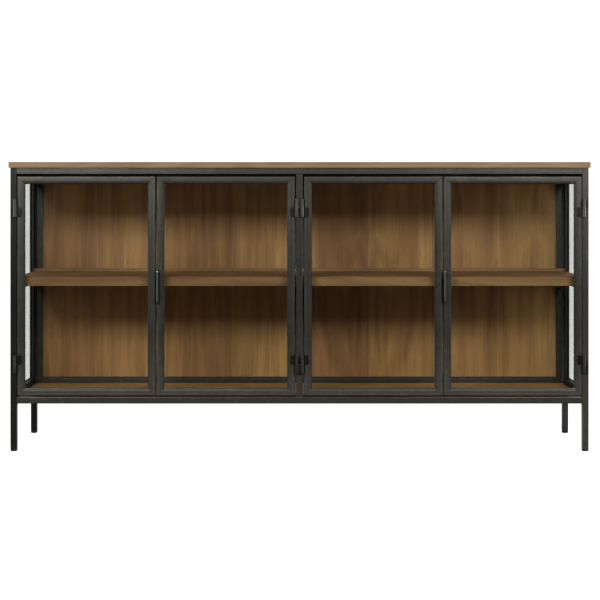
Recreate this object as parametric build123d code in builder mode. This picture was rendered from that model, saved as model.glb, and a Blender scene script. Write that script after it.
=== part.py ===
"""Industrial sideboard buffet: welded steel frame, four glazed doors, wood top, shelf and panels.

Frame of reference: +Z up, X along the length, the doors face -Y. The origin is on the floor,
at the centre of the whole plan including the door pulls.
"""

from build123d import *
import os

os.makedirs("parts", exist_ok=True)

# ---- Driving dimensions, in millimetres ----

# Overall
TOP_LENGTH = 1800.0
TOP_DEPTH = 400.0
TOP_THICKNESS = 18.0
TOP_OVERHANG = 5.0
TOP_EDGE_ROUND = 1.5
HEIGHT = 896.0

# Welded tube frame
TUBE = 20.0
TUBE_WALL = 1.5
TUBE_CORNER = 2.0
LEG_CLEARANCE = 148.0
GLIDE_HEIGHT = 8.0
GLIDE_CORNER = 4.5
GLIDE_ROUND = 3.5
GLIDE_PLUG = 25.0
GLIDE_CLEARANCE = 0.1

# Angle frames that close the sides and the back
ANGLE_FACE = 20.0
ANGLE_DEPTH = 12.0
ANGLE_THICKNESS = 3.0
ANGLE_INSET = 4.0

# Glass and wood sheets
GLASS_THICKNESS = 4.0
SHEET_CLEARANCE = 1.0
BACK_SCREW_INSET = 12.0
BACK_SCREW_BITE = 2.0
FLOOR_THICKNESS = 12.0
FLOOR_BEARER_WIDTH = 30.0
FLOOR_BEARER_THICKNESS = 4.0
FLOOR_BEARER_COUNT = 5
FLOOR_BEARER_MARGIN = 10.0

# Doors
CORNER_POST_GAP = 1.0
CENTRE_POST_GAP = 3.8
MEETING_GAP = 2.5
DOOR_BOTTOM_GAP = 4.0
DOOR_TOP_GAP = 6.0
DOOR_DEPTH = 20.0
DOOR_TUBE = 15.0
DOOR_WALL = 1.5
DOOR_FLANGE_WIDTH = 8.0
DOOR_FLANGE_THICKNESS = 5.0
DOOR_BEVEL = 1.0
DOOR_LIP_ROUND = 1.5
DOOR_ROUND = 3.5
DOOR_BEAD = 8.0
BEAD_END_GAP = 0.5

# Barrel hinges
BARREL_RADIUS = 5.0
PIN_RADIUS = 2.5
PIN_CLEARANCE = 0.05
PIN_CHAMFER = 0.5
HINGE_LENGTH = 55.0
KNUCKLE_GAP = 0.4
HINGE_FACE_GAP = 0.4
HINGE_INSET = 98.0
OUTER_AXIS_INSET = 5.0
CENTRE_AXIS = 8.0
HINGE_PLATE = 3.0
HINGE_LAP = 14.0
CENTRE_PLATE = 6.5

# Pulls
PULL_PROJECTION = 20.0
PULL_THICKNESS = 5.0
PULL_HEIGHT = 102.0
PULL_CENTRE_Z = 512.0
PULL_INSET = 1.0
PULL_ROUND = 7.0

# Shelf
SHELF_TOP = 540.0
SHELF_THICKNESS = 30.0
SHELF_SETBACK = 35.0
SHELF_EDGE_ROUND = 1.0
SHELF_SIDE_GAP = 0.5
SHELF_MEETING_GAP = 1.0
SHELF_REAR_GAP = 0.5
STRIP_WIDTH = 10.0
STRIP_HEIGHT = 9.0
BEARER_WIDTH = 20.0
BEARER_LEG = 12.0
BEARER_THICKNESS = 3.0
SHELF_SCREW_LENGTH = 20.0

# Fixings
SCREW_RADIUS = 2.0
SCREW_HEAD_RADIUS = 4.0
SCREW_HEAD_HEIGHT = 2.5
TOP_SCREW_DEPTH = 12.0
TAB_LENGTH = 30.0
TAB_WIDTH = 25.0
TAB_THICKNESS = 3.0
CATCH_LENGTH = 60.0
CATCH_DEPTH = 12.0
CATCH_DROP = 20.0
CATCH_RISE = 14.0
CATCH_GAP = 0.4
CATCH_SCREW_SPACING = 36.0
CATCH_SCREW_GRIP = 6.0

# ---- Levels and planes worked out from them ----

FRAME_TOP = HEIGHT - TOP_THICKNESS
RAIL_TOP = LEG_CLEARANCE + TUBE
TOP_RAIL_BASE = FRAME_TOP - TUBE
HALF_LENGTH = TOP_LENGTH / 2 - TOP_OVERHANG
FRAME_DEPTH = TOP_DEPTH - 2 * TOP_OVERHANG
FRONT_REACH = max(PULL_PROJECTION, TOP_OVERHANG)
FRONT = -(FRAME_DEPTH + TOP_OVERHANG - FRONT_REACH) / 2
REAR = FRONT + FRAME_DEPTH
POST_INNER = HALF_LENGTH - TUBE
INSIDE_FRONT = FRONT + TUBE
INSIDE_REAR = REAR - TUBE
INSIDE_DEPTH = INSIDE_REAR - INSIDE_FRONT
MIDDLE_Y = (FRONT + REAR) / 2
OPENING_HEIGHT = TOP_RAIL_BASE - RAIL_TOP
OPENING_MIDDLE = (TOP_RAIL_BASE + RAIL_TOP) / 2

BAY = POST_INNER - TUBE / 2
BAY_MIDDLE = (POST_INNER + TUBE / 2) / 2
DOOR_WIDTH = (BAY - CORNER_POST_GAP - CENTRE_POST_GAP - MEETING_GAP) / 2
DOOR_BASE = RAIL_TOP + DOOR_BOTTOM_GAP
DOOR_TOP = TOP_RAIL_BASE - DOOR_TOP_GAP
DOOR_HEIGHT = DOOR_TOP - DOOR_BASE
DOOR_MIDDLE = (DOOR_TOP + DOOR_BASE) / 2

HINGE_Y = FRONT - HINGE_FACE_GAP - BARREL_RADIUS
KNUCKLE_LENGTH = (HINGE_LENGTH - KNUCKLE_GAP) / 2
TOP_HINGE = DOOR_TOP - HINGE_INSET
BOTTOM_HINGE = DOOR_BASE + HINGE_INSET
UPPER_KNUCKLE = KNUCKLE_GAP / 2
LOWER_KNUCKLE = -KNUCKLE_GAP / 2 - KNUCKLE_LENGTH
POST_KNUCKLE_BASES = (TOP_HINGE + UPPER_KNUCKLE, BOTTOM_HINGE + LOWER_KNUCKLE)
DOOR_KNUCKLE_BASES = (TOP_HINGE + LOWER_KNUCKLE, BOTTOM_HINGE + UPPER_KNUCKLE)

SHELF_BASE = SHELF_TOP - SHELF_THICKNESS
SHELF_END = HALF_LENGTH - ANGLE_DEPTH - SHELF_SIDE_GAP
SHELF_FRONT = FRONT + SHELF_SETBACK
SHELF_REAR = INSIDE_REAR - SHELF_REAR_GAP
BEARER_OUTER = HALF_LENGTH - ANGLE_DEPTH

SIDES = {"left": -1, "right": 1}


def save(piece, name):
    """Label a finished piece and write its STEP file."""
    piece.label = name
    export_step(piece, f"parts/{name}.step")


def block(x, y, z, mode=Mode.ADD):
    """Cuboid between a low and a high value on each axis, in the part being built."""
    with Locations(((x[0] + x[1]) / 2, (y[0] + y[1]) / 2, (z[0] + z[1]) / 2)):
        Box(x[1] - x[0], y[1] - y[0], z[1] - z[0], mode=mode)


def span(*values):
    """Two values in rising order, for a range that may be mirrored."""
    return (min(values), max(values))


# ---- Fasteners, each modelled once with its seat at the origin and its head below ----


def pan_screw(length):
    """Pan-head screw: the shank rises from the seat and the rounded head hangs below it."""
    with BuildPart() as screw:
        Cylinder(SCREW_RADIUS, length, align=(Align.CENTER, Align.CENTER, Align.MIN))
        Cylinder(SCREW_HEAD_RADIUS, SCREW_HEAD_HEIGHT, align=(Align.CENTER, Align.CENTER, Align.MAX))
        fillet(screw.edges().filter_by(GeomType.CIRCLE).sort_by(Axis.Z)[0], SCREW_HEAD_HEIGHT / 2)
    return screw.part


# ---- Welded tube frame ----


def square_tube(name, start, direction, length, bolt_holes=()):
    """Hollow square tube, open at both ends, with optional holes in its rear wall."""
    bore = TUBE - 2 * TUBE_WALL
    with BuildPart() as tube:
        with BuildSketch(Plane(origin=start, z_dir=direction)):
            RectangleRounded(TUBE, TUBE, TUBE_CORNER)
            RectangleRounded(bore, bore, TUBE_CORNER - TUBE_WALL, mode=Mode.SUBTRACT)
        extrude(amount=length)
        for x, z in bolt_holes:
            with BuildSketch(Plane(origin=(x, start[1], z), z_dir=(0, 1, 0))):
                Circle(SCREW_RADIUS)
            extrude(amount=TUBE / 2, mode=Mode.SUBTRACT)
    save(tube.part, name)


POST_LINE = HALF_LENGTH - TUBE / 2
FRONT_LINE = FRONT + TUBE / 2
REAR_LINE = REAR - TUBE / 2
LOW_RAIL_LINE = LEG_CLEARANCE + TUBE / 2
HIGH_RAIL_LINE = FRAME_TOP - TUBE / 2
CATCH_SCREW_LINE = TOP_RAIL_BASE + CATCH_RISE / 2

catch_screw_places = [
    (side * BAY_MIDDLE + offset, CATCH_SCREW_LINE)
    for side in SIDES.values()
    for offset in (-CATCH_SCREW_SPACING / 2, CATCH_SCREW_SPACING / 2)
]

for end, line in (("front", FRONT_LINE), ("rear", REAR_LINE)):
    for label, side in SIDES.items():
        square_tube(f"post_{end}_{label}", (side * POST_LINE, line, GLIDE_HEIGHT), (0, 0, 1),
                    FRAME_TOP - GLIDE_HEIGHT)
    square_tube(f"post_{end}_centre", (0, line, RAIL_TOP), (0, 0, 1), OPENING_HEIGHT)
    square_tube(f"bottom_rail_{end}", (-POST_INNER, line, LOW_RAIL_LINE), (1, 0, 0), 2 * POST_INNER)
    square_tube(f"top_rail_{end}", (-POST_INNER, line, HIGH_RAIL_LINE), (1, 0, 0), 2 * POST_INNER,
                catch_screw_places if end == "front" else ())

for label, side in SIDES.items():
    for level, line in (("bottom", LOW_RAIL_LINE), ("top", HIGH_RAIL_LINE)):
        square_tube(f"{level}_rail_{label}", (side * POST_LINE, INSIDE_FRONT, line), (0, 1, 0), INSIDE_DEPTH)

# Black glides plug the four legs and carry the whole weight.
with BuildPart() as foot_glides:
    plug = TUBE - 2 * TUBE_WALL - 2 * GLIDE_CLEARANCE
    with BuildSketch():
        with GridLocations(2 * POST_LINE, REAR_LINE - FRONT_LINE, 2, 2):
            with Locations((0, MIDDLE_Y)):
                RectangleRounded(TUBE, TUBE, GLIDE_CORNER)
    extrude(amount=GLIDE_HEIGHT)
    fillet(foot_glides.edges().group_by(Axis.Z)[0], GLIDE_ROUND)
    with BuildSketch(Plane.XY.offset(GLIDE_HEIGHT)):
        with GridLocations(2 * POST_LINE, REAR_LINE - FRONT_LINE, 2, 2):
            with Locations((0, MIDDLE_Y)):
                RectangleRounded(plug, plug, TUBE_CORNER - TUBE_WALL)
    extrude(amount=GLIDE_PLUG)
save(foot_glides.part, "foot_glides")


# ---- Mitred frames and what they hold ----

# Angle for the sides and back: X is depth into the cabinet, Y runs inward from the outer edge.
with BuildSketch() as angle_section:
    with BuildLine():
        Polyline(
            (0, 0),
            (ANGLE_DEPTH, 0),
            (ANGLE_DEPTH, ANGLE_THICKNESS),
            (ANGLE_THICKNESS, ANGLE_THICKNESS),
            (ANGLE_THICKNESS, ANGLE_FACE),
            (0, ANGLE_FACE),
            close=True,
        )
    make_face()

# Door bar: a square tube rounded at its outer front edge, with a sloping, round-lipped flange before the glass.
DOOR_FACE = DOOR_TUBE + DOOR_FLANGE_WIDTH
with BuildSketch() as door_section:
    with BuildLine():
        Polyline(
            (0, 0),
            (DOOR_DEPTH, 0),
            (DOOR_DEPTH, DOOR_TUBE),
            (DOOR_FLANGE_THICKNESS, DOOR_TUBE),
            (DOOR_FLANGE_THICKNESS, DOOR_FACE),
            (DOOR_BEVEL, DOOR_FACE),
            (0, DOOR_TUBE),
            close=True,
        )
    make_face()
    fillet(door_section.vertices().sort_by(lambda corner: corner.X + corner.Y)[0], DOOR_ROUND)
    fillet(door_section.vertices().group_by(Axis.Y)[-1].sort_by(Axis.X)[0], DOOR_LIP_ROUND)
    with Locations((DOOR_DEPTH / 2, DOOR_TUBE / 2)):
        RectangleRounded(DOOR_DEPTH - 2 * DOOR_WALL, DOOR_TUBE - 2 * DOOR_WALL, DOOR_ROUND - DOOR_WALL,
                         mode=Mode.SUBTRACT)


def mitred_frame(name, face, width, height, section, holes=()):
    """Four mitred bars, one solid each, round an opening centred on a plane facing into the cabinet.

    Holes are the screw places on that plane: each is blind, sunk into the flange from behind.
    """
    bars = []
    for outward, length, reach in (
        (face.x_dir, height, width / 2),
        (-face.x_dir, height, width / 2),
        (face.y_dir, width, height / 2),
        (-face.y_dir, width, height / 2),
    ):
        middle = face.origin + outward * reach
        along = face.z_dir.cross(-outward)
        with BuildPart() as bar:
            with BuildSketch(Plane(origin=middle, x_dir=face.z_dir, z_dir=along)):
                add(section.sketch_local)
            extrude(amount=length / 2, both=True)
            for end in (-1, 1):
                tip = middle + along * (end * length / 2)
                split(bisect_by=Plane(origin=tip, z_dir=along * end - outward), keep=Keep.BOTTOM)
            if holes:
                with BuildSketch(face.offset(ANGLE_THICKNESS)):
                    with Locations(*holes):
                        Circle(SCREW_RADIUS)
                extrude(amount=-BACK_SCREW_BITE, mode=Mode.SUBTRACT)
        bars.append(bar.part)
    save(Compound(children=bars), name)


def sheet(name, face, depth, width, height, thickness, holes=()):
    """Flat sheet parallel to a plane, with optional screw holes given on that plane."""
    with BuildPart() as pane:
        with BuildSketch(face.offset(depth)):
            Rectangle(width, height)
            if holes:
                with Locations(*holes):
                    Circle(SCREW_RADIUS, mode=Mode.SUBTRACT)
        extrude(amount=thickness)
    save(pane.part, name)


def glazing_beads(name, face, depth, width, height, bead_width, bead_depth):
    """Four straight beads that hold a pane from behind, the short ones between the long ones."""
    with BuildPart() as beads:
        with BuildSketch(face.offset(depth)):
            with Locations(((bead_width - width) / 2, 0), ((width - bead_width) / 2, 0)):
                Rectangle(bead_width, height)
            with Locations((0, (bead_width - height) / 2), (0, (height - bead_width) / 2)):
                Rectangle(width - 2 * bead_width - 2 * BEAD_END_GAP, bead_width)
        extrude(amount=bead_depth)
    save(beads.part, name)


# Sides: glass in an angle frame, flush with the outer face of the posts.
ANGLE_OPENING = 2 * ANGLE_THICKNESS
for label, side in SIDES.items():
    face = Plane(origin=(side * HALF_LENGTH, MIDDLE_Y, OPENING_MIDDLE), x_dir=(0, 1, 0), z_dir=(-side, 0, 0))
    mitred_frame(f"side_frame_{label}", face, INSIDE_DEPTH, OPENING_HEIGHT, angle_section)
    clear_width = INSIDE_DEPTH - ANGLE_OPENING
    clear_height = OPENING_HEIGHT - ANGLE_OPENING
    sheet(f"side_glass_{label}", face, ANGLE_THICKNESS, clear_width - 2 * SHEET_CLEARANCE,
          clear_height - 2 * SHEET_CLEARANCE, GLASS_THICKNESS)
    bead_start = ANGLE_THICKNESS + GLASS_THICKNESS
    glazing_beads(f"side_beads_{label}", face, bead_start, clear_width, clear_height,
                  ANGLE_FACE - 2 * ANGLE_THICKNESS, ANGLE_DEPTH - bead_start)

# Back: a veneered panel in an angle frame in each half, screwed on from behind.
BACK_FACE = REAR - ANGLE_INSET - ANGLE_DEPTH
BACK_PANEL_THICKNESS = ANGLE_DEPTH - ANGLE_THICKNESS
back_screw_places = []
for label, side in SIDES.items():
    face = Plane(origin=(side * BAY_MIDDLE, BACK_FACE, OPENING_MIDDLE), x_dir=(1, 0, 0), z_dir=(0, 1, 0))
    column = BAY / 2 - BACK_SCREW_INSET
    row = OPENING_HEIGHT / 2 - BACK_SCREW_INSET
    holes = [(x * column, z * row) for x in (-1, 0, 1) for z in (-1, 0, 1) if x or z]
    back_screw_places += [(side * BAY_MIDDLE + x, OPENING_MIDDLE + z) for x, z in holes]
    mitred_frame(f"back_frame_{label}", face, BAY, OPENING_HEIGHT, angle_section, holes)
    sheet(f"back_panel_{label}", face, ANGLE_THICKNESS,
          BAY - ANGLE_OPENING - 2 * SHEET_CLEARANCE, OPENING_HEIGHT - ANGLE_OPENING - 2 * SHEET_CLEARANCE,
          BACK_PANEL_THICKNESS, holes)

back_screw = pan_screw(BACK_PANEL_THICKNESS + BACK_SCREW_BITE)
with BuildPart() as back_panel_screws:
    with Locations(*[Location((x, REAR - ANGLE_INSET, z), (90, 0, 0)) for x, z in back_screw_places]):
        add(back_screw)
save(back_panel_screws.part, "back_panel_screws")

# ---- Wood floor, shelf and top ----

with BuildPart() as floor_panel:
    block(
        (SHEET_CLEARANCE - POST_INNER, POST_INNER - SHEET_CLEARANCE),
        (INSIDE_FRONT + SHEET_CLEARANCE, INSIDE_REAR - SHEET_CLEARANCE),
        (RAIL_TOP - FLOOR_THICKNESS, RAIL_TOP),
    )
save(floor_panel.part, "floor_panel")

bearer_reach = POST_INNER - FLOOR_BEARER_MARGIN - FLOOR_BEARER_WIDTH / 2
with BuildPart() as floor_bearers:
    with BuildSketch(Plane.XY.offset(RAIL_TOP - FLOOR_THICKNESS)):
        with Locations((0, MIDDLE_Y)):
            with GridLocations(2 * bearer_reach / (FLOOR_BEARER_COUNT - 1), 0, FLOOR_BEARER_COUNT, 1):
                Rectangle(FLOOR_BEARER_WIDTH, INSIDE_DEPTH)
    extrude(amount=-FLOOR_BEARER_THICKNESS)
save(floor_bearers.part, "floor_bearers")

SHELF_INNER = SHELF_MEETING_GAP / 2
shelf_screw_rows = [INSIDE_FRONT + INSIDE_DEPTH * share for share in (0.15, 0.5, 0.85)]
shelf_screw_x = BEARER_OUTER - BEARER_WIDTH / 2
shelf_screw_places = [(side * shelf_screw_x, y) for side in SIDES.values() for y in shelf_screw_rows]
shelf_screw_rise = SHELF_SCREW_LENGTH - BEARER_THICKNESS
for label, side in SIDES.items():
    with BuildPart() as shelf:
        block(span(side * SHELF_INNER, side * SHELF_END), (SHELF_FRONT, SHELF_REAR), (SHELF_BASE, SHELF_TOP))
        fillet(shelf.edges().filter_by(Axis.X).group_by(Axis.Y)[0], SHELF_EDGE_ROUND)
        with BuildSketch(Plane.XY.offset(SHELF_BASE)):
            with Locations(*[(side * shelf_screw_x, y) for y in shelf_screw_rows]):
                Circle(SCREW_RADIUS)
        extrude(amount=shelf_screw_rise, mode=Mode.SUBTRACT)
    save(shelf.part, f"shelf_{label}")

with BuildPart() as shelf_back_strips:
    for side in SIDES.values():
        block(span(side * SHELF_INNER, side * SHELF_END), (SHELF_REAR - STRIP_WIDTH, SHELF_REAR),
              (SHELF_TOP, SHELF_TOP + STRIP_HEIGHT))
save(shelf_back_strips.part, "shelf_back_strips")

# Shelf bearers: an angle across each end and a tube between the two centre posts.
with BuildPart() as shelf_bearers:
    for side in SIDES.values():
        block(span(side * (BEARER_OUTER - BEARER_WIDTH), side * BEARER_OUTER), (INSIDE_FRONT, INSIDE_REAR),
              (SHELF_BASE - BEARER_THICKNESS, SHELF_BASE))
        block(span(side * (BEARER_OUTER - BEARER_THICKNESS), side * BEARER_OUTER), (INSIDE_FRONT, INSIDE_REAR),
              (SHELF_BASE - BEARER_LEG, SHELF_BASE))
    with BuildSketch(Plane.XY.offset(SHELF_BASE)):
        with Locations(*shelf_screw_places):
            Circle(SCREW_RADIUS)
    extrude(amount=-BEARER_THICKNESS, mode=Mode.SUBTRACT)
    with BuildSketch(Plane(origin=(0, INSIDE_FRONT, SHELF_BASE - TUBE / 2), z_dir=(0, 1, 0))):
        RectangleRounded(TUBE, TUBE, TUBE_CORNER)
    extrude(amount=INSIDE_DEPTH)
    block((TUBE_WALL - TUBE / 2, TUBE / 2 - TUBE_WALL), (INSIDE_FRONT, INSIDE_REAR),
          (SHELF_BASE - TUBE + TUBE_WALL, SHELF_BASE - TUBE_WALL), mode=Mode.SUBTRACT)
save(shelf_bearers.part, "shelf_bearers")

shelf_screw = pan_screw(SHELF_SCREW_LENGTH)
with BuildPart() as shelf_screws:
    with Locations(*[(x, y, SHELF_BASE - BEARER_THICKNESS) for x, y in shelf_screw_places]):
        add(shelf_screw)
save(shelf_screws.part, "shelf_screws")

# The top is screwed down through tabs welded inside the long rails.
tab_lines = (INSIDE_FRONT + TAB_WIDTH / 2, INSIDE_REAR - TAB_WIDTH / 2)
tab_places = [(side * BAY_MIDDLE + offset, y) for side in SIDES.values() for offset in (-BAY / 4, BAY / 4)
              for y in tab_lines]

with BuildPart() as top_panel:
    block((-TOP_LENGTH / 2, TOP_LENGTH / 2), (FRONT - TOP_OVERHANG, REAR + TOP_OVERHANG), (FRAME_TOP, HEIGHT))
    fillet(top_panel.edges(), TOP_EDGE_ROUND)
    with BuildSketch(Plane.XY.offset(FRAME_TOP)):
        with Locations(*tab_places):
            Circle(SCREW_RADIUS)
    extrude(amount=TOP_SCREW_DEPTH, mode=Mode.SUBTRACT)
save(top_panel.part, "top_panel")

with BuildPart() as top_fixing_tabs:
    with BuildSketch(Plane.XY.offset(FRAME_TOP - TAB_THICKNESS)):
        with Locations(*tab_places):
            Rectangle(TAB_LENGTH, TAB_WIDTH)
            Circle(SCREW_RADIUS, mode=Mode.SUBTRACT)
    extrude(amount=TAB_THICKNESS)
save(top_fixing_tabs.part, "top_fixing_tabs")

top_screw = pan_screw(TAB_THICKNESS + TOP_SCREW_DEPTH)
with BuildPart() as top_screws:
    with Locations(*[(x, y, FRAME_TOP - TAB_THICKNESS) for x, y in tab_places]):
        add(top_screw)
save(top_screws.part, "top_screws")

# ---- Magnetic catches behind the meeting stiles ----

catch_face = FRONT + DOOR_DEPTH + CATCH_GAP
catch_back = max(catch_face, INSIDE_FRONT) + CATCH_DEPTH
with BuildPart() as magnetic_catches:
    for side in SIDES.values():
        block((side * BAY_MIDDLE - CATCH_LENGTH / 2, side * BAY_MIDDLE + CATCH_LENGTH / 2),
              (INSIDE_FRONT, catch_back), (TOP_RAIL_BASE, TOP_RAIL_BASE + CATCH_RISE))
        block((side * BAY_MIDDLE - CATCH_LENGTH / 2, side * BAY_MIDDLE + CATCH_LENGTH / 2),
              (catch_face, catch_back), (TOP_RAIL_BASE - CATCH_DROP, TOP_RAIL_BASE))
    for x, z in catch_screw_places:
        with BuildSketch(Plane(origin=(x, catch_back, z), z_dir=(0, -1, 0))):
            Circle(SCREW_RADIUS)
        extrude(amount=catch_back - INSIDE_FRONT, mode=Mode.SUBTRACT)
save(magnetic_catches.part, "magnetic_catches")

catch_screw = pan_screw(catch_back - INSIDE_FRONT + CATCH_SCREW_GRIP)
with BuildPart() as catch_screws:
    with Locations(*[Location((x, catch_back, z), (90, 0, 0)) for x, z in catch_screw_places]):
        add(catch_screw)
save(catch_screws.part, "catch_screws")

# ---- Hinges on the posts ----

OUTER_AXIS = POST_INNER + OUTER_AXIS_INSET
HINGE_AXES = (-OUTER_AXIS, -CENTRE_AXIS, CENTRE_AXIS, OUTER_AXIS)

with BuildPart() as hinge_post_knuckles:
    for base in POST_KNUCKLE_BASES:
        with BuildSketch(Plane.XY.offset(base)):
            with Locations(*[(x, HINGE_Y) for x in HINGE_AXES]):
                Circle(BARREL_RADIUS)
            with Locations((0, FRONT - CENTRE_PLATE / 2)):
                Rectangle(2 * CENTRE_AXIS, CENTRE_PLATE)
            with Locations((-POST_LINE, FRONT - HINGE_PLATE / 2), (POST_LINE, FRONT - HINGE_PLATE / 2)):
                Rectangle(TUBE - 2 * TUBE_CORNER, HINGE_PLATE)
            with Locations(*[(x, HINGE_Y) for x in HINGE_AXES]):
                Circle(PIN_RADIUS, mode=Mode.SUBTRACT)
        extrude(amount=KNUCKLE_LENGTH)
save(hinge_post_knuckles.part, "hinge_post_knuckles")

with BuildPart() as hinge_pins:
    for middle in (BOTTOM_HINGE, TOP_HINGE):
        with BuildSketch(Plane.XY.offset(middle - HINGE_LENGTH / 2)):
            with Locations(*[(x, HINGE_Y) for x in HINGE_AXES]):
                Circle(PIN_RADIUS)
        extrude(amount=HINGE_LENGTH)
    chamfer(hinge_pins.edges().filter_by(GeomType.CIRCLE), PIN_CHAMFER)
save(hinge_pins.part, "hinge_pins")

# ---- Doors ----

# Each door: name, its hinge axis, its hinged edge, and the direction from there across it.
OUTER_EDGE = POST_INNER - CORNER_POST_GAP
CENTRE_EDGE = TUBE / 2 + CENTRE_POST_GAP
DOORS = (
    ("door_left_outer", -OUTER_AXIS, -OUTER_EDGE, 1),
    ("door_left_inner", -CENTRE_AXIS, -CENTRE_EDGE, -1),
    ("door_right_inner", CENTRE_AXIS, CENTRE_EDGE, 1),
    ("door_right_outer", OUTER_AXIS, OUTER_EDGE, -1),
)

for name, axis_x, edge_x, across in DOORS:
    middle_x = edge_x + across * DOOR_WIDTH / 2
    face = Plane(origin=(middle_x, FRONT, DOOR_MIDDLE), x_dir=(1, 0, 0), z_dir=(0, 1, 0))
    mitred_frame(f"{name}_frame", face, DOOR_WIDTH, DOOR_HEIGHT, door_section)
    clear_width = DOOR_WIDTH - 2 * DOOR_TUBE
    clear_height = DOOR_HEIGHT - 2 * DOOR_TUBE
    sheet(f"{name}_glass", face, DOOR_FLANGE_THICKNESS, clear_width - 2 * SHEET_CLEARANCE,
          clear_height - 2 * SHEET_CLEARANCE, GLASS_THICKNESS)
    glazing_beads(f"{name}_beads", face, DOOR_FLANGE_THICKNESS + GLASS_THICKNESS, clear_width, clear_height,
                  DOOR_BEAD, DOOR_BEAD)

    # Moving knuckles: a bridge clears the post by the face gap and a lapped plate is welded to the stile.
    with BuildPart() as knuckles:
        for base in DOOR_KNUCKLE_BASES:
            with BuildSketch(Plane.XY.offset(base)):
                with Locations((axis_x, HINGE_Y)):
                    Circle(BARREL_RADIUS)
                lap_start = edge_x + across * DOOR_ROUND
                lap_end = edge_x + across * HINGE_LAP
                bridge = abs(lap_start - axis_x) + HINGE_PLATE
                with Locations((axis_x + across * bridge / 2, FRONT - HINGE_FACE_GAP - HINGE_PLATE / 2)):
                    Rectangle(bridge, HINGE_PLATE)
                with Locations(((lap_start + lap_end) / 2, FRONT - HINGE_PLATE / 2)):
                    Rectangle(abs(lap_end - lap_start), HINGE_PLATE)
                with Locations((axis_x, HINGE_Y)):
                    Circle(PIN_RADIUS + PIN_CLEARANCE, mode=Mode.SUBTRACT)
            extrude(amount=KNUCKLE_LENGTH)
    save(knuckles.part, f"{name}_knuckles")

    # Only the right-hand leaf of each pair carries a pull, a thin fin along its free edge.
    if across < 0:
        fin_edge = edge_x + across * (DOOR_WIDTH - PULL_INSET)
        with BuildPart() as pull:
            block((fin_edge, fin_edge + PULL_THICKNESS), (FRONT - PULL_PROJECTION, FRONT),
                  (PULL_CENTRE_Z - PULL_HEIGHT / 2, PULL_CENTRE_Z + PULL_HEIGHT / 2))
            fillet(pull.edges().filter_by(Axis.X).group_by(Axis.Y)[0], PULL_ROUND)
        save(pull.part, f"{name}_pull")
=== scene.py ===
"""Visual model of the industrial sideboard buffet: welded steel frame, four glazed doors, wood top.

Metres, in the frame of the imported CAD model: +Z up, the doors face -Y, the origin on the floor.
"""

import math
import random

import bmesh
import bpy
from mathutils import Matrix, Vector


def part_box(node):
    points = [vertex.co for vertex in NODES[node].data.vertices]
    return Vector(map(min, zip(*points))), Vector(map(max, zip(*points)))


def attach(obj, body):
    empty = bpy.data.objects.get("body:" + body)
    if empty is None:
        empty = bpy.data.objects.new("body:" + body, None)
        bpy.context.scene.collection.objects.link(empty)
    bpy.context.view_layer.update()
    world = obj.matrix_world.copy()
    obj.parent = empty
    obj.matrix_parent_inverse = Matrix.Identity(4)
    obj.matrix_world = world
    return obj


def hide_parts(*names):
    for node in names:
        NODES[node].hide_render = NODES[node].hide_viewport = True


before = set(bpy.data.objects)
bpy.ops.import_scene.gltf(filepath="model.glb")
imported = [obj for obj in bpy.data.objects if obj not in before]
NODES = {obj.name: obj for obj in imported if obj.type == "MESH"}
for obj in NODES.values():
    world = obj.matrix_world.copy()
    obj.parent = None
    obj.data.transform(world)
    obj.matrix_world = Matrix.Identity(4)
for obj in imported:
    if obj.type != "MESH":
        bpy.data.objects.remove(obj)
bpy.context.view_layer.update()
random.seed(11)


# ---- Shader graphs ----


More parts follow.
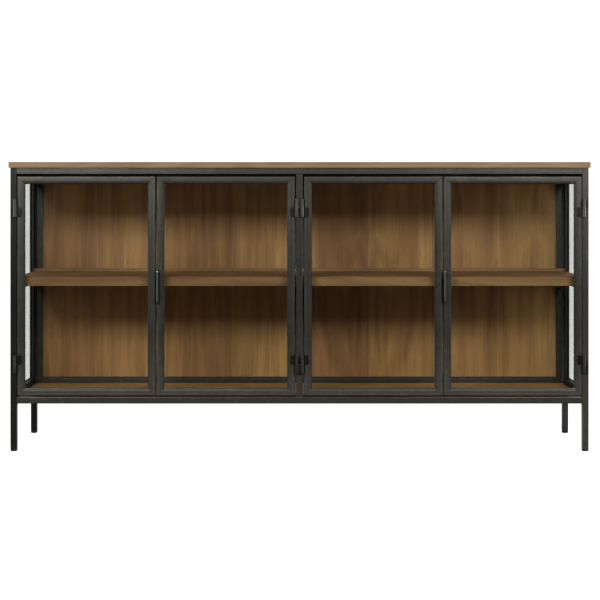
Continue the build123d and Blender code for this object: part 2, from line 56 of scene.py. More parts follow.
class Graph:
    """A material's node tree, with short calls for the nodes that the finishes use."""

    def __init__(self, name):
        self.material = bpy.data.materials.new(name)
        self.material.use_nodes = True
        self.tree = self.material.node_tree
        self.tree.nodes.clear()
        self.output = self.add("ShaderNodeOutputMaterial")

    def add(self, kind, inputs=None, **settings):
        node = self.tree.nodes.new(kind)
        for key, value in settings.items():
            setattr(node, key, value)
        for key, value in (inputs or {}).items():
            self.feed(node.inputs[key], value)
        return node

    def feed(self, socket, value):
        if isinstance(value, bpy.types.NodeSocket):
            self.tree.links.new(value, socket)
        else:
            socket.default_value = value

    def place(self):
        return self.add("ShaderNodeTexCoord").outputs["Object"]

    def math(self, operation, a, b=0.0):
        return self.add("ShaderNodeMath", {0: a, 1: b}, operation=operation).outputs[0]

    def away(self, value, centre):
        """Distance of a value from a centre."""
        return self.math("ABSOLUTE", self.math("SUBTRACT", value, centre))

    def axes(self, vector):
        """The X, Y and Z outputs of a vector."""
        return self.add("ShaderNodeSeparateXYZ", {0: vector}).outputs

    def shifted(self, vector, offset):
        node = self.add("ShaderNodeVectorMath", {0: vector, 1: offset}, operation="ADD")
        return node.outputs[0]

    def random(self, value):
        """A random level for each whole number."""
        node = self.add("ShaderNodeTexWhiteNoise", {"W": value}, noise_dimensions="1D")
        return node.outputs["Value"]

    def scaled(self, vector, scale, location=(0, 0, 0)):
        node = self.add("ShaderNodeMapping", {"Vector": vector, "Scale": scale, "Location": location})
        return node.outputs[0]

    def noise(self, vector, scale, detail=4.0, roughness=0.55, distortion=0.0):
        node = self.add("ShaderNodeTexNoise", {
            "Vector": vector, "Scale": scale, "Detail": detail,
            "Roughness": roughness, "Distortion": distortion,
        })
        return node.outputs["Fac"]

    def ramp(self, value, low, high, start=0.0, end=1.0):
        """value mapped from low..high to start..end, held at the ends."""
        node = self.add("ShaderNodeMapRange", {
            "Value": value, "From Min": low, "From Max": high, "To Min": start, "To Max": end,
        })
        return node.outputs["Result"]

    def colours(self, value, *stops):
        """A colour ramp through (position, colour) stops."""
        node = self.add("ShaderNodeValToRGB", {"Fac": value})
        elements = node.color_ramp.elements
        while len(elements) < len(stops):
            elements.new(0.5)
        for element, (position, colour) in zip(elements, stops):
            element.position = position
            element.color = (*colour, 1.0)
        return node.outputs["Color"]

    def mix(self, factor, a, b, blend="MIX"):
        node = self.add("ShaderNodeMix", data_type="RGBA", blend_type=blend)
        for index, value in ((0, factor), (6, a), (7, b)):
            if isinstance(value, tuple):
                value = (*value, 1.0)
            self.feed(node.inputs[index], value)
        return node.outputs[2]

    def tint(self, base, colour):
        return self.mix(1.0, base, colour, "MULTIPLY")

    def bump(self, height, strength, distance, normal=None):
        inputs = {"Height": height, "Strength": strength, "Distance": distance}
        if normal is not None:
            inputs["Normal"] = normal
        return self.add("ShaderNodeBump", inputs).outputs[0]

    def edges(self, radius):
        """1 on convex edges and 0 on flat faces."""
        soft = self.add("ShaderNodeBevel", {"Radius": radius}, samples=6).outputs[0]
        true = self.add("ShaderNodeNewGeometry").outputs["Normal"]
        same = self.add("ShaderNodeVectorMath", {0: soft, 1: true}, operation="DOT_PRODUCT")
        return self.ramp(same.outputs["Value"], 0.997, 0.90)

    def crevices(self, reach):
        """1 deep in a corner or a narrow gap and 0 in the open."""
        open_share = self.add("ShaderNodeAmbientOcclusion", {"Distance": reach}, samples=6).outputs["AO"]
        return self.ramp(open_share, 0.35, 0.90, 1.0, 0.0)

    def principled(self, **inputs):
        names = {key.replace("_", " "): value for key, value in inputs.items()}
        node = self.add("ShaderNodeBsdfPrincipled", names)
        self.tree.links.new(node.outputs[0], self.output.inputs["Surface"])
        return node


def paint(node, material):
    """Give a CAD node or a made piece its one material."""
    piece = NODES[node] if isinstance(node, str) else node
    piece.data.materials.clear()
    piece.data.materials.append(material)


# ---- Finishes ----

STEEL_DARK = (0.030, 0.030, 0.026)
STEEL_MID = (0.060, 0.060, 0.053)
STEEL_LIGHT = (0.115, 0.114, 0.102)
STEEL_WORN = (0.30, 0.295, 0.27)
# Painted highlight colour for the crowns of the door bars:
STEEL_PAINTED_HIGHLIGHT = (0.26, 0.257, 0.235)
STEEL_BROWN = (0.068, 0.056, 0.040)


BRUSH_FINE = 900.0
BRUSH_LONG = 9.0
SEAM_WIDTHS = (0.00025, 0.0008)
SEAM_COLOUR = (0.018, 0.017, 0.015)
# Painted shade in corners and narrow gaps, by ambient occlusion:
CREVICE_SHADE_COLOUR = (0.012, 0.011, 0.009)
CREVICE_SHADE_REACH = 0.010
WORN_EDGE = 0.0012
# Painted highlight strength on the bar crowns, and the fade of the painted shade on their inner lips:
CROWN_HIGHLIGHT_STRENGTH = 0.12
LIP_SHADE_FADE = 0.004
WHITE = (1.0, 1.0, 1.0)


def steel(name, along="X", bars=None, tone=1.0, wear=0.6, seed=0.0, rough=0.38, barrel=None,
          scuff=None, crown=None):
    """Blackened and burnished steel, brushed along each bar.

    bars is (across axis, centre, up centre, half width, half height) of a mitred frame: its
    streaks turn at the mitres, which show as a fine seam.
    barrel is (plate Y, barrel Y, plate shade): painted shade darkens the plates and all behind them, fading
    out towards the front of the barrels.
    The floor setting is (upper Z, lower Z, tone): towards the floor the metal is painted lighter, a painted
    reflection of the floor.
    crown is (distance in from the outer edge, half width, lip distance) of a mitred frame: a
    painted highlight runs along the crown of each bar and painted shade darkens its inner lip.
    """
    g = Graph(name)
    place = g.place()
    shifted = g.shifted(place, (seed, seed * 0.7, seed * 1.3))
    stretch = {
        "X": (BRUSH_LONG, BRUSH_FINE, BRUSH_FINE),
        "Y": (BRUSH_FINE, BRUSH_LONG, BRUSH_FINE),
        "Z": (BRUSH_FINE, BRUSH_FINE, BRUSH_LONG),
    }
    seam = None
    if bars:
        across, centre, level, half_width, half_height = bars
        parts = g.axes(place)
        side_gap = g.math("SUBTRACT", half_width, g.away(parts[across], centre))
        end_gap = g.math("SUBTRACT", half_height, g.away(parts["Z"], level))
        difference = g.math("SUBTRACT", side_gap, end_gap)
        upright = g.math("LESS_THAN", difference, 0.0)
        seam = g.ramp(g.math("ABSOLUTE", difference), *SEAM_WIDTHS, 1.0, 0.0)
        vectors = g.add("ShaderNodeMix", {
            "Factor": upright, 4: g.scaled(shifted, stretch[across]),
            5: g.scaled(shifted, stretch["Z"], (3.1, 1.7, 0.4)),
        }, data_type="VECTOR")
        brushed = vectors.outputs[1]
    else:
        brushed = g.scaled(shifted, stretch[along])
    streaks = g.noise(brushed, 1.0, 3.0, 0.6)
    clouds = g.noise(shifted, 7.0, 5.0, 0.6, 0.4)
    blotches = g.noise(shifted, 38.0, 4.0, 0.62, 0.8)
    scratch = g.ramp(g.noise(brushed, 0.33, 2.0, 0.7), 0.66, 0.74)
    level_mix = g.math("ADD", g.math("MULTIPLY", clouds, 0.55), g.math("MULTIPLY", blotches, 0.45))
    base = g.colours(level_mix, (0.30, STEEL_DARK), (0.50, STEEL_MID), (0.72, STEEL_LIGHT))
    brown = g.ramp(g.noise(shifted, 15.0, 4.0, 0.6, 1.2), 0.56, 0.70, 0.0, 0.55)
    base = g.mix(brown, base, STEEL_BROWN)
    base = g.mix(g.ramp(streaks, 0.35, 0.70, 0.0, 0.35), base, STEEL_LIGHT)
    base = g.mix(g.math("MULTIPLY", scratch, 0.45), base, STEEL_WORN)
    worn = g.math("MULTIPLY", g.edges(WORN_EDGE), g.ramp(blotches, 0.38, 0.62, 0.35, 1.0))
    base = g.mix(g.math("MULTIPLY", worn, wear), base, STEEL_WORN)
    # Painted highlight along the crown of each bar and painted shade on its inner lip.
    if crown:
        ridge, spread, lip = crown
        inward = g.math("MINIMUM", side_gap, end_gap)
        band = g.ramp(g.away(inward, ridge), spread * 0.25, spread, 1.0, 0.0)
        band = g.math("MULTIPLY", band, g.ramp(clouds, 0.35, 0.60, 0.35, 1.0))
        base = g.mix(g.math("MULTIPLY", band, CROWN_HIGHLIGHT_STRENGTH), base, STEEL_PAINTED_HIGHLIGHT)
        base = g.mix(g.ramp(inward, lip, lip + LIP_SHADE_FADE, 0.0, 0.5), base, STEEL_DARK)
    if seam is not None:
        base = g.mix(g.math("MULTIPLY", seam, 0.75), base, SEAM_COLOUR)
    # Painted shade on the hinge plates and what lies behind them.
    if barrel:
        plate_y, barrel_y, plate_shade = barrel
        forward = g.ramp(g.axes(place)["Y"], plate_y, barrel_y)
        base = g.tint(base, g.colours(forward, (0.0, (plate_shade,) * 3), (1.0, WHITE)))
    # Painted reflection of the floor: the metal is painted lighter towards the floor.
    if scuff:
        upper, lower, scuffed = scuff
        lowered = g.ramp(g.axes(place)["Z"], upper, lower)
        base = g.tint(base, g.colours(lowered, (0.0, (1 / scuffed,) * 3), (1.0, WHITE)))
        base = g.tint(base, (scuffed,) * 3)
    base = g.tint(base, (tone,) * 3)
    # Painted shade: ambient occlusion darkens corners, gaps and crevices towards near-black.
    base = g.mix(g.math("MULTIPLY", g.crevices(CREVICE_SHADE_REACH), 0.85), base, CREVICE_SHADE_COLOUR)
    roughness = g.math("ADD", g.ramp(level_mix, 0.3, 0.7, rough + 0.10, rough - 0.08),
                       g.ramp(streaks, 0.3, 0.7, 0.05, -0.06))
    roughness = g.math("SUBTRACT", roughness, g.math("MULTIPLY", worn, 0.10))
    normal = g.bump(streaks, 0.35, 0.00006)
    normal = g.bump(blotches, 0.25, 0.0004, normal)
    g.principled(Base_Color=base, Metallic=0.82, Roughness=roughness, Normal=normal)
    return g.material


def bright_steel(name, colour, rough=0.28):
    """Drawn or zinc-plated steel for pins and screws."""
    g = Graph(name)
    place = g.place()
    cloud = g.noise(place, 160.0, 4.0, 0.6, 0.5)
    fine = g.noise(place, 1400.0, 2.0, 0.6)
    dull = tuple(0.55 * c for c in colour)
    base = g.colours(g.math("ADD", g.math("MULTIPLY", cloud, 0.7), g.math("MULTIPLY", fine, 0.3)),
                     (0.32, dull), (0.62, colour))
    worn = g.edges(0.0005)
    base = g.mix(g.math("MULTIPLY", worn, 0.5), base, (0.7, 0.69, 0.66))
    roughness = g.ramp(cloud, 0.3, 0.7, rough + 0.15, rough)
    g.principled(Base_Color=base, Metallic=0.95, Roughness=roughness,
                 Normal=g.bump(fine, 0.2, 0.00008))
    return g.material


# Painted shade tint for the shelves' upward faces:
TOP_FACE_SHADE_TINT = (0.52, 0.43, 0.38)
LIP_LINE_DROP = 0.0013
LIP_LINE_WIDTHS = (0.0008, 0.0018)
BOARD_TONES = ((0.0, (0.80, 0.70, 0.66)), (1.0, (1.12, 1.13, 1.02)))
LEAF_JOINT = (0.4965, 0.4990)
BOARD_JOINT = (0.4955, 0.4985)


def wood(name, grain="X", dark=(0.120, 0.054, 0.018), mid=(0.335, 0.192, 0.072),
         light=(0.50, 0.318, 0.130), rough=0.45, seed=0.0, rings=13.0, leaf=None, board=None,
         figure=1.0, lip=None):
    """Oiled wood with growth rings, fibre and pores along one axis.

    leaf is (left edge, width) of book-matched veneer leaves; board is (axis, edge, width) of
    solid boards glued side by side. lip is the top level of a board whose upward faces are
    darkened and reddened by painted shade, with a dark line under its front edge.
    """
    g = Graph(name)
    place = g.place()
    parts = g.axes(place)

    def strips(axis, first, width, seam):
        """Distance along the axis, the strip's number, its random level and its joint lines."""
        along = g.math("SUBTRACT", parts[axis], first)
        share = g.math("DIVIDE", along, width)
        count = g.math("FLOOR", share)
        lines = g.ramp(g.away(g.math("FRACT", share), 0.5), *seam)
        return along, count, g.random(g.math("ADD", count, seed)), lines

    tone = None
    joint = None
    source = place
    if leaf:
        left, width = leaf
        along, count, own, joint = strips("X", left, width, LEAF_JOINT)
        odd = g.math("MODULO", count, 2.0)
        tone = g.math("ADD", g.math("MULTIPLY", odd, 0.55), g.math("MULTIPLY", own, 0.45))
        matched = g.math("PINGPONG", along, width)
        pair = g.math("FLOOR", g.math("DIVIDE", along, 2 * width))
        aside = g.math("ADD", parts["Y"], g.math("MULTIPLY", pair, 0.37))
        source = g.add("ShaderNodeCombineXYZ", {0: matched, 1: aside, 2: parts["Z"]}).outputs[0]
    if board:
        _, _, tone, joint = strips(*board, BOARD_JOINT)
        jump = g.math("MULTIPLY", tone, 7.0)
        source = g.shifted(place, g.add("ShaderNodeCombineXYZ", {0: jump, 1: jump, 2: jump}).outputs[0])
    source = g.shifted(source, (seed, seed * 1.7, seed * 0.6))

    def stretched(lengthwise, crosswise):
        scale = {"X": (lengthwise, crosswise, crosswise), "Z": (crosswise, crosswise, lengthwise)}[grain]
        return g.scaled(source, scale)

    broad = g.noise(stretched(0.9, 7.0), 1.0, 2.5, 0.5, 0.25)
    growth = g.math("PINGPONG", g.math("MULTIPLY", broad, rings), 0.5)
    growth = g.ramp(growth, 0.0, 0.5)
    growth = g.math("POWER", growth, 1.6)
    fibre = g.noise(stretched(7.0, 260.0), 1.0, 5.0, 0.65, 0.15)
    streak = g.noise(stretched(1.6, 42.0), 1.0, 4.0, 0.6, 0.2)
    pores = g.ramp(g.noise(stretched(55.0, 1500.0), 1.0, 2.0, 0.5), 0.30, 0.40, 1.0, 0.0)
    mottle = g.noise(place, 5.0, 3.0, 0.5)
    value = g.math("MULTIPLY", growth, 0.26 * figure)
    value = g.math("ADD", value, g.math("MULTIPLY", fibre, 0.50))
    value = g.math("ADD", value, g.math("MULTIPLY", streak, 0.42))
    value = g.math("SUBTRACT", value, 0.06)
    base = g.colours(value, (0.12, dark), (0.52, mid), (0.92, light))
    base = g.mix(g.math("MULTIPLY", pores, 0.45), base, tuple(0.45 * c for c in dark))
    base = g.mix(g.ramp(mottle, 0.35, 0.7, 0.0, 0.22), base, dark)
    if tone is not None:
        base = g.tint(base, g.colours(tone, *BOARD_TONES))
    if joint is not None:
        base = g.mix(g.math("MULTIPLY", joint, 0.6), base, tuple(0.3 * c for c in dark))
    if lip is not None:
        # Painted shade on upward faces: darker and redder.
        facing = g.axes(g.add("ShaderNodeNewGeometry").outputs["Normal"])["Z"]
        base = g.mix(g.ramp(facing, 0.3, 0.9), base, g.tint(base, TOP_FACE_SHADE_TINT))
        line = g.ramp(g.away(parts["Z"], lip - LIP_LINE_DROP), *LIP_LINE_WIDTHS, 0.6, 0.0)
        base = g.mix(line, base, tuple(0.5 * c for c in dark))
    roughness = g.ramp(fibre, 0.3, 0.7, rough + 0.07, rough - 0.07)
    normal = g.bump(fibre, 0.28, 0.0003)
    normal = g.bump(pores, 0.25, 0.0002, normal)
    g.principled(Base_Color=base, Roughness=roughness, Normal=normal, Specular_IOR_Level=0.35)
    return g.material


def glass(name, seed=0.0):
    """Clear float glass: a weak green tint, a mirror share by Fresnel and faint wiped haze."""
    g = Graph(name)
    place = g.place()
    wipe = g.noise(g.scaled(place, (14.0, 14.0, 5.0), (seed, 0, seed)), 1.0, 4.0, 0.6, 1.5)
    dust = g.noise(place, 420.0, 3.0, 0.7)
    clear = g.add("ShaderNodeBsdfTransparent", {"Color": (0.975, 0.985, 0.978, 1.0)}).outputs[0]
    mirror = g.add("ShaderNodeBsdfGlossy", {
        "Color": (0.95, 1.0, 0.98, 1.0), "Roughness": g.ramp(wipe, 0.35, 0.7, 0.0, 0.03),
    }).outputs[0]
    share = g.add("ShaderNodeFresnel", {"IOR": 1.45}).outputs[0]
    inside = g.add("ShaderNodeNewGeometry").outputs["Backfacing"]
    share = g.math("MULTIPLY", share, g.math("SUBTRACT", 1.0, inside))
    pane = g.add("ShaderNodeMixShader", {0: share, 1: clear, 2: mirror}).outputs[0]
    haze = g.add("ShaderNodeBsdfDiffuse", {"Color": (0.8, 0.82, 0.8, 1.0)}).outputs[0]
    film = g.math("MULTIPLY", g.ramp(wipe, 0.5, 0.8, 0.0005, 0.003), g.ramp(dust, 0.4, 0.8, 0.4, 1.6))
    mixed = g.add("ShaderNodeMixShader", {0: film, 1: pane, 2: haze}).outputs[0]
    g.tree.links.new(mixed, g.output.inputs["Surface"])
    return g.material


def plastic(name, colour, rough=0.5):
    """Moulded black plastic with a fine spark-eroded grain and scuffed edges."""
    g = Graph(name)
    place = g.place()
    grain = g.noise(place, 1800.0, 2.0, 0.6)
    scuff = g.noise(place, 60.0, 5.0, 0.65, 0.6)
    base = g.mix(g.ramp(scuff, 0.45, 0.75, 0.0, 0.5), colour, tuple(2.2 * c + 0.01 for c in colour))
    base = g.mix(g.math("MULTIPLY", g.edges(0.0006), 0.35), base, (0.16, 0.16, 0.16))
    g.principled(Base_Color=base, Roughness=g.ramp(scuff, 0.3, 0.7, rough - 0.1, rough + 0.15),
                 Normal=g.bump(grain, 0.3, 0.0001))
    return g.material


# ---- Paint the CAD nodes ----


# Painted reflection of the floor on the legs and the door frames:
LEG_FLOOR_SHEEN = (0.45, 0.10, 2.2)
DOOR_FLOOR_SHEEN = (0.36, 0.18, 2.2)
# Painted highlight along the door bars' crowns and painted shade on their inner lips.
DOOR_CROWN_LIGHT_AND_SHADE = (0.0062, 0.0042, 0.0175)
FRAME_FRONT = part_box("post_front_left")[0][1]
# Painted shade on the hinge plates, behind the barrels:
HINGE_PLATE_SHADE = (FRAME_FRONT - 0.0050, FRAME_FRONT - 0.0075, 0.45)
# Lit and shaded copies of one steel: the left posts painted darker where less light falls, the bottom rails
# painted lighter, a painted reflection of the floor.
POST_PAINTED_LIGHT_TONES = {"left": 0.30, "centre": 0.90, "right": 0.98}
RAIL_PAINTED_LIGHT_TONES = {"top": 1.0, "bottom": 1.6}
SCREW_COLOUR = (0.42, 0.40, 0.36)
SCREW_ROUGH = 0.32
DOORS = ("left_outer", "left_inner", "right_inner", "right_outer")


def paint_steel(node, *finish, **settings):
    paint(node, steel(node, *finish, **settings))


def frame_bars(node, across):
    """Centre, level and half sizes of a mitred frame, for the steel finish."""
    low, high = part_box(node)
    index = "XYZ".index(across)
    return (across, (low[index] + high[index]) / 2, (low[2] + high[2]) / 2,
            (high[index] - low[index]) / 2, (high[2] - low[2]) / 2)


# The post and rail tones are painted light and shade.
for number, end in enumerate(("front", "rear")):
    for place, tone in POST_PAINTED_LIGHT_TONES.items():
        paint_steel(f"post_{end}_{place}", "Z", tone=tone, seed=number + len(place) * 0.31, scuff=LEG_FLOOR_SHEEN)
    for level, tone in RAIL_PAINTED_LIGHT_TONES.items():
        paint_steel(f"{level}_rail_{end}", "X", tone=tone, seed=number + len(level) * 0.77)
for side in ("left", "right"):
    for level in RAIL_PAINTED_LIGHT_TONES:
        paint_steel(f"{level}_rail_{side}", "Y", seed=len(side) * 0.41 + len(level))
    for node, across, seed, wear in (("side_frame", "Y", 4.2, 0.6), ("side_beads", "Y", 5.1, 0.3),
                                     ("back_frame", "X", 6.3, 0.6)):
        name = f"{node}_{side}"
        paint_steel(name, bars=frame_bars(name, across), seed=seed, wear=wear)
    paint(f"side_glass_{side}", glass(f"side_glass_{side}", seed=len(side)))

for number, door in enumerate(DOORS):
    for part, wear, crown in (("frame", 0.7, DOOR_CROWN_LIGHT_AND_SHADE), ("beads", 0.3, None)):
        name = f"door_{door}_{part}"
        paint_steel(name, bars=frame_bars(name, "X"), seed=7 + number * 1.9, wear=wear,
                    scuff=DOOR_FLOOR_SHEEN, crown=crown)
    paint(f"door_{door}_glass", glass(f"door_{door}_glass", seed=number * 2.3))
    paint_steel(f"door_{door}_knuckles", "Z", tone=1.5, wear=0.9, seed=number, rough=0.28, barrel=HINGE_PLATE_SHADE)
# The pulls are painted lighter: partly worn bright steel and partly a painted highlight on the fins' front
# edges.
for door in ("left_inner", "right_outer"):
    paint_steel(f"door_{door}_pull", "Z", tone=1.9, wear=1.0, seed=len(door))
paint_steel("hinge_post_knuckles", "Z", tone=1.3, wear=0.9, seed=2.6, rough=0.30, barrel=HINGE_PLATE_SHADE)
paint("hinge_pins", bright_steel("hinge_pins", (0.48, 0.47, 0.45)))
for name in ("top_fixing_tabs", "shelf_bearers", "floor_bearers"):
    paint_steel(name, "X", seed=len(name) * 0.5, wear=0.4)
for name in ("back_panel_screws", "shelf_screws", "top_screws", "catch_screws"):
    paint(name, bright_steel(name, SCREW_COLOUR, SCREW_ROUGH))
paint("foot_glides", plastic("foot_glides", (0.018, 0.018, 0.018)))
paint("magnetic_catches", plastic("magnetic_catches", (0.022, 0.022, 0.022), 0.45))

low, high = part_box("top_panel")
paint("top_panel", wood("top_panel", "X", seed=1.3, rings=15.0, dark=(0.30, 0.18, 0.09),
                        mid=(0.60, 0.405, 0.225), light=(0.76, 0.56, 0.35),
                        board=("Y", low[1], (high[1] - low[1]) / 4)))
for side, seed in (("left", 2.9), ("right", 6.1)):
    low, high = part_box(f"shelf_{side}")
    paint(f"shelf_{side}", wood(f"shelf_{side}", "X", seed=seed, rings=11.0, rough=0.66, lip=high[2],
                                dark=(0.20, 0.094, 0.030), mid=(0.50, 0.290, 0.112), light=(0.70, 0.46, 0.20),
                                board=("Y", low[1], (high[1] - low[1]) / 3)))
# The back strips are darker than the shelves: partly a darker wood and partly painted shade along the foot of
# the back panels.
paint("shelf_back_strips", wood("shelf_back_strips", "X", seed=3.7, figure=0.5, dark=(0.08, 0.036, 0.012),
                                      mid=(0.24, 0.135, 0.050), light=(0.36, 0.22, 0.09)))
low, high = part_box("floor_panel")
paint("floor_panel", wood("floor_panel", "X", seed=8.4, board=("Y", low[1], (high[1] - low[1]) / 3)))
for side, seed in (("left", 4.4), ("right", 7.7)):
    low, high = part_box(f"back_panel_{side}")
    paint(f"back_panel_{side}", wood(f"back_panel_{side}", "Z", seed=seed, rings=7.0, figure=0.7,
                                     leaf=(low[0], (high[0] - low[0]) / 4)))


# ---- Pieces added to the CAD model ----

WELD_RADIUS = 0.0021
GASKET_WIDTH = 0.0014
GASKET_DEPTH = 0.0010
WELD_INSET = 0.002
WELD_SIDES = 10
SCREW_SIDES = 28


def made(name, shape, body, material):
    """A new piece from a mesh under construction, painted and tied to its body."""
    mesh = bpy.data.meshes.new(name)
    bmesh.ops.recalc_face_normals(shape, faces=shape.faces)
    shape.to_mesh(mesh)
    shape.free()
    piece = bpy.data.objects.new(name, mesh)
    bpy.context.scene.collection.objects.link(piece)
    paint(piece, material)
    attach(piece, body)
    return piece


def bead(shape, start, end, radius):
    """A closed weld bead along a corner line, swelling and shrinking with each ripple."""
    line = end - start
    along = line.normalized()
    across = along.orthogonal().normalized()
    up = along.cross(across)
    ripple = radius * 0.9
    steps = max(8, round(line.length / (radius * 0.25)))
    rings = []
    for step in range(steps + 1):
        share = step / steps
        swell = 0.80 + 0.20 * abs(math.sin(math.pi * share * line.length / ripple))
        taper = math.sqrt(max(0.06, min(1.0, 8 * share, 8 * (1 - share))))
        size = radius * swell * taper * random.uniform(0.96, 1.04)
        middle = start + line * share
        rings.append([
            shape.verts.new(middle + (across * math.cos(turn) + up * math.sin(turn)) * size)
            for turn in (math.tau * corner / WELD_SIDES for corner in range(WELD_SIDES))
        ])
    for first, second in zip(rings, rings[1:]):
        for corner in range(WELD_SIDES):
            after = (corner + 1) % WELD_SIDES
            shape.faces.new((first[corner], first[after], second[after], second[corner]))
    shape.faces.new(rings[0][::-1])
    shape.faces.new(rings[-1])


def weld_lines():
    """The corner lines left as welded: under the low rails and inside the door openings."""
    lines = []

    def through(low, high, x, z):
        lines.append((Vector((x, low[1] + WELD_INSET, z)), Vector((x, high[1] - WELD_INSET, z))))

    for rail, level in (("bottom_rail_front", 0), ("bottom_rail_rear", 0), ("top_rail_front", 0),
                        ("bottom_rail_front", 1)):
        low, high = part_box(rail)
        for x in (low[0], high[0]):
            through(low, high, x, (low[2], high[2])[level])
    for rail in ("bottom_rail_left", "bottom_rail_right"):
        low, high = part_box(rail)
        for y in (low[1], high[1]):
            ends = (low[0] + WELD_INSET, high[0] - WELD_INSET)
            lines.append(tuple(Vector((x, y, low[2])) for x in ends))
    low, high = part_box("post_front_centre")
    for x in (low[0], high[0]):
        for z in (low[2], high[2]):
            through(low, high, x, z)
    return lines


welds = bmesh.new()
for start, end in weld_lines():
    bead(welds, start, end, WELD_RADIUS)
made("frame_welds", welds, "carcass", steel("frame_welds", "Z", tone=1.3, wear=0.8, seed=9.1))


def gasket(door):
    """The dark glazing seal that shows as a fine line inside a door's flange."""
    frame_mesh = NODES[f"door_{door}_frame"].data
    low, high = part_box(f"door_{door}_frame")
    middle_x, middle_z = (low[0] + high[0]) / 2, (low[2] + high[2]) / 2
    half_x = min(abs(vertex.co.x - middle_x) for vertex in frame_mesh.vertices)
    half_z = min(abs(vertex.co.z - middle_z) for vertex in frame_mesh.vertices)
    pane_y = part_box(f"door_{door}_glass")[0][1]
    profile = [(0.0, 0.0), (GASKET_WIDTH, 0.0), (GASKET_WIDTH * 0.85, GASKET_DEPTH * 0.55),
               (GASKET_WIDTH * 0.45, GASKET_DEPTH * 0.92), (0.0, GASKET_DEPTH)]
    shape = bmesh.new()
    rings = [
        [shape.verts.new((middle_x + right * (half_x - inward), pane_y - forward,
                          middle_z + up * (half_z - inward)))
         for inward, forward in profile]
        for right, up in ((-1, -1), (1, -1), (1, 1), (-1, 1))
    ]
    for corner, first in enumerate(rings):
        second = rings[(corner + 1) % 4]
        for point in range(len(profile)):
            after = (point + 1) % len(profile)
            shape.faces.new((first[point], first[after], second[after], second[point]))
    return shape


rubber = plastic("glazing_seal", (0.010, 0.010, 0.010), 0.7)
for door in DOORS:
    made(f"door_{door}_seal", gasket(door), f"door_{door}", rubber)


def islands(node):
    """(lowest corner, highest corner) of each separate solid in a CAD node."""
    shape = bmesh.new()
    shape.from_mesh(NODES[node].data)
    bmesh.ops.remove_doubles(shape, verts=shape.verts, dist=1e-6)
    boxes = []
    seen = set()
    for first in shape.verts:
        if first in seen:
            continue
        seen.add(first)
        group, front = [first], [first]
        while front:
            vertex = front.pop()
            for edge in vertex.link_edges:
                other = edge.other_vert(vertex)
                if other not in seen:
                    seen.add(other)
                    group.append(other)
                    front.append(other)
        boxes.append(tuple(
            Vector([pick(vertex.co[axis] for vertex in group) for axis in range(3)]) for pick in (min, max)
        ))
    shape.free()
    return boxes


def cross_screw(length, head_radius, head_height, shank_radius):
    """A pan-head screw with a cross recess, its seat at the origin and its head below it."""
    profile = [
        (0.0, length), (shank_radius * 0.75, length), (shank_radius, length - shank_radius * 0.6),
        (shank_radius, 0.0), (head_radius, 0.0), (head_radius, -head_height * 0.45),
        (head_radius * 0.93, -head_height * 0.70), (head_radius * 0.78, -head_height * 0.90),
        (head_radius * 0.5, -head_height), (0.0, -head_height),
    ]
    shape = bmesh.new()
    rings = []
    for radius, height in profile:
        if radius == 0.0:
            rings.append([shape.verts.new((0, 0, height))])
        else:
            rings.append([
                shape.verts.new((radius * math.cos(turn), radius * math.sin(turn), height))
                for turn in (math.tau * corner / SCREW_SIDES for corner in range(SCREW_SIDES))
            ])
    for first, second in zip(rings, rings[1:]):
        for corner in range(SCREW_SIDES):
            after = (corner + 1) % SCREW_SIDES
            if len(first) == 1:
                shape.faces.new((first[0], second[after], second[corner]))
            elif len(second) == 1:
                shape.faces.new((first[corner], first[after], second[0]))
            else:
                shape.faces.new((first[corner], first[after], second[after], second[corner]))
    bmesh.ops.recalc_face_normals(shape, faces=shape.faces)
    body = bpy.data.meshes.new("screw")
    shape.to_mesh(body)
    shape.free()

    recess = bmesh.new()
    reach, width, depth = head_radius * 0.62, head_radius * 0.20, head_height * 0.62
    for size in ((reach, width), (width, reach)):
        at_head = Matrix.Translation((0, 0, -head_height))
        bmesh.ops.create_cube(recess, size=2.0, matrix=at_head @ Matrix.Diagonal((*size, depth, 1.0)))
    cutter_mesh = bpy.data.meshes.new("recess")
    recess.to_mesh(cutter_mesh)
    recess.free()
    holder = bpy.data.objects.new("screw", body)
    cutter = bpy.data.objects.new("recess", cutter_mesh)
    for piece in (holder, cutter):
        bpy.context.scene.collection.objects.link(piece)
    cut = holder.modifiers.new("recess", "BOOLEAN")
    cut.operation = "DIFFERENCE"
    cut.solver = "EXACT"
    cut.use_self = True
    cut.object = cutter
    bpy.context.view_layer.update()
    finished = bpy.data.meshes.new_from_object(holder.evaluated_get(bpy.context.evaluated_depsgraph_get()))
    for piece in (holder, cutter):
        bpy.data.objects.remove(piece)
    return finished


def detailed_screws(node, axis):
    """Replace a node's plain screws with cross-recessed ones; their heads point to -Z or to +Y."""
    screws = bmesh.new()
    template = None
    for low, high in islands(node):
        size = high - low
        length, wide = size[axis], max(size[(axis + 1) % 3], size[(axis + 2) % 3])
        head_radius = wide / 2
        head_height = head_radius * 0.625
        if template is None:
            template = cross_screw(length - head_height, head_radius, head_height, head_radius / 2)
        middle = (low + high) / 2
        if axis == 2:
            seat = Vector((middle.x, middle.y, low.z + head_height))
            turn = Matrix.Identity(4)
        else:
            seat = Vector((middle.x, high.y - head_height, middle.z))
            turn = Matrix.Rotation(math.radians(90), 4, "X")
        spin = Matrix.Rotation(random.uniform(0, math.tau / 4), 4, "Z")
        copy = template.copy()
        copy.transform(Matrix.Translation(seat) @ turn @ spin)
        screws.from_mesh(copy)
        bpy.data.meshes.remove(copy)
    name = f"{node}_detailed"
    piece = made(name, screws, "carcass", bright_steel(name, SCREW_COLOUR, SCREW_ROUGH))
    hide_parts(node)


for node, axis in (("back_panel_screws", 1), ("catch_screws", 1), ("shelf_screws", 2), ("top_screws", 2)):
    detailed_screws(node, axis)


# ---- Studio ----

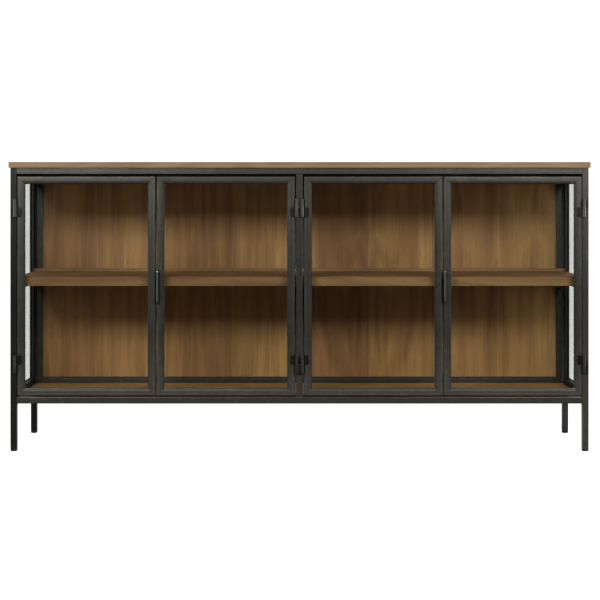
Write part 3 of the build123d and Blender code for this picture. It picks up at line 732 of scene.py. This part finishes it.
FLOOR_SIZE = 60.0
FLOOR_STEPS = 24
FLOOR_GLOW = 0.80
DOME_RADIUS = FLOOR_SIZE * 0.49
DOME_GLOW = 1.05
UNDER_BLEND = (-0.30, -0.04)
UNSEEN_BY_LIGHT = ("visible_diffuse", "visible_glossy")
UNSEEN_BY_ALL_BUT_CAMERA = UNSEEN_BY_LIGHT + (
    "visible_transmission", "visible_volume_scatter", "visible_shadow",
)


def backdrop(name, shape, glow, hidden, relief=False):
    """A pale staged surface that the camera sees; hidden names the rays that pass it by."""
    mesh = bpy.data.meshes.new(name)
    shape.to_mesh(mesh)
    shape.free()
    surface = bpy.data.objects.new(name, mesh)
    bpy.context.scene.collection.objects.link(surface)
    g = Graph(name)
    speckle = g.noise(g.place(), 3.0, 3.0, 0.5)
    base = g.colours(speckle, (0.3, (0.80, 0.80, 0.79)), (0.7, (0.84, 0.84, 0.83)))
    settings = {"Normal": g.bump(speckle, 0.05, 0.001)} if relief else {}
    g.principled(Base_Color=base, Roughness=0.9, Emission_Color=(1.0, 1.0, 1.0, 1.0),
                 Emission_Strength=glow, **settings)
    mesh.materials.append(g.material)
    for ray in hidden:
        setattr(surface, ray, False)


def studio_floor():
    """A wide flat pale floor, centred under the object."""
    shape = bmesh.new()
    bmesh.ops.create_grid(shape, x_segments=FLOOR_STEPS, y_segments=FLOOR_STEPS, size=FLOOR_SIZE / 2)
    backdrop("studio_floor", shape, FLOOR_GLOW, UNSEEN_BY_LIGHT, relief=True)


def studio_dome():
    """A pale dome over the floor for the camera alone; it neither lights nor shades the object."""
    shape = bmesh.new()
    bmesh.ops.create_uvsphere(shape, u_segments=64, v_segments=32, radius=DOME_RADIUS)
    below = [vert for vert in shape.verts if vert.co.z < -0.01]
    bmesh.ops.delete(shape, geom=below, context="VERTS")
    bmesh.ops.reverse_faces(shape, faces=shape.faces)
    backdrop("studio_dome", shape, DOME_GLOW, UNSEEN_BY_ALL_BUT_CAMERA)


def softbox(name, place, target, width, height, power):
    """A rectangular area lamp that the camera doesn't see."""
    lamp = bpy.data.lights.new(name, "AREA")
    lamp.shape = "RECTANGLE"
    lamp.size = width
    lamp.size_y = height
    lamp.energy = power
    lamp.color = (1.0, 0.975, 0.945)
    holder = bpy.data.objects.new(name, lamp)
    holder.location = place
    holder.rotation_euler = (Vector(target) - Vector(place)).to_track_quat("-Z", "Y").to_euler()
    holder.visible_camera = False
    bpy.context.scene.collection.objects.link(holder)


def studio_sky(front, back, rise, under):
    """A white cyclorama behind the object, a dim room in front of it and a soft glow from below."""
    world = bpy.data.worlds.new("studio")
    bpy.context.scene.world = world
    world.use_nodes = True
    tree = world.node_tree
    tree.nodes.clear()
    output = tree.nodes.new("ShaderNodeOutputWorld")
    glow = tree.nodes.new("ShaderNodeBackground")
    glow.inputs["Color"].default_value = (1.0, 1.0, 1.0, 1.0)
    direction = tree.nodes.new("ShaderNodeTexCoord")
    parts = tree.nodes.new("ShaderNodeSeparateXYZ")
    blend = tree.nodes.new("ShaderNodeMapRange")
    blend.interpolation_type = "SMOOTHSTEP"
    blend.inputs["From Min"].default_value = rise[0]
    blend.inputs["From Max"].default_value = rise[1]
    blend.inputs["To Min"].default_value = front
    blend.inputs["To Max"].default_value = back
    tree.links.new(direction.outputs["Generated"], parts.inputs[0])
    tree.links.new(parts.outputs["Y"], blend.inputs["Value"])
    above = tree.nodes.new("ShaderNodeMapRange")
    above.inputs["From Min"].default_value = UNDER_BLEND[0]
    above.inputs["From Max"].default_value = UNDER_BLEND[1]
    tree.links.new(parts.outputs["Z"], above.inputs["Value"])
    level = tree.nodes.new("ShaderNodeMix")
    level.inputs["A"].default_value = under
    tree.links.new(above.outputs["Result"], level.inputs["Factor"])
    tree.links.new(blend.outputs["Result"], level.inputs["B"])
    tree.links.new(level.outputs["Result"], glow.inputs["Strength"])
    tree.links.new(glow.outputs[0], output.inputs["Surface"])


def camera():
    """Level camera in front of the doors, at the height where the horizon crosses them."""
    data = bpy.data.cameras.new("camera")
    data.lens = 94.3
    data.sensor_width = 36.0
    data.shift_y = -0.18
    data.clip_end = 200.0
    holder = bpy.data.objects.new("camera", data)
    holder.location = (0.0015, -5.0505, 0.803)
    holder.rotation_euler = (math.radians(90), 0, 0)
    bpy.context.scene.collection.objects.link(holder)
    bpy.context.scene.camera = holder


studio_floor()
studio_dome()
studio_sky(front=0.009, back=1.05, rise=(0.15, 0.80), under=0.07)
softbox("key_left", (-1.25, -2.4, 1.69), (-0.2, 0.0, 0.45), 1.3, 0.60, 44.0)
softbox("key_right", (1.35, -2.4, 1.69), (0.2, 0.0, 0.45), 1.3, 0.60, 40.0)
softbox("side_left", (-2.3, -0.45, 0.8), (-0.8, 0.1, 0.5), 0.9, 1.2, 13.0)
softbox("side_right", (2.3, -0.45, 0.8), (0.8, 0.1, 0.5), 0.9, 1.2, 18.0)
camera()

scene = bpy.context.scene
scene.view_settings.view_transform = "Standard"
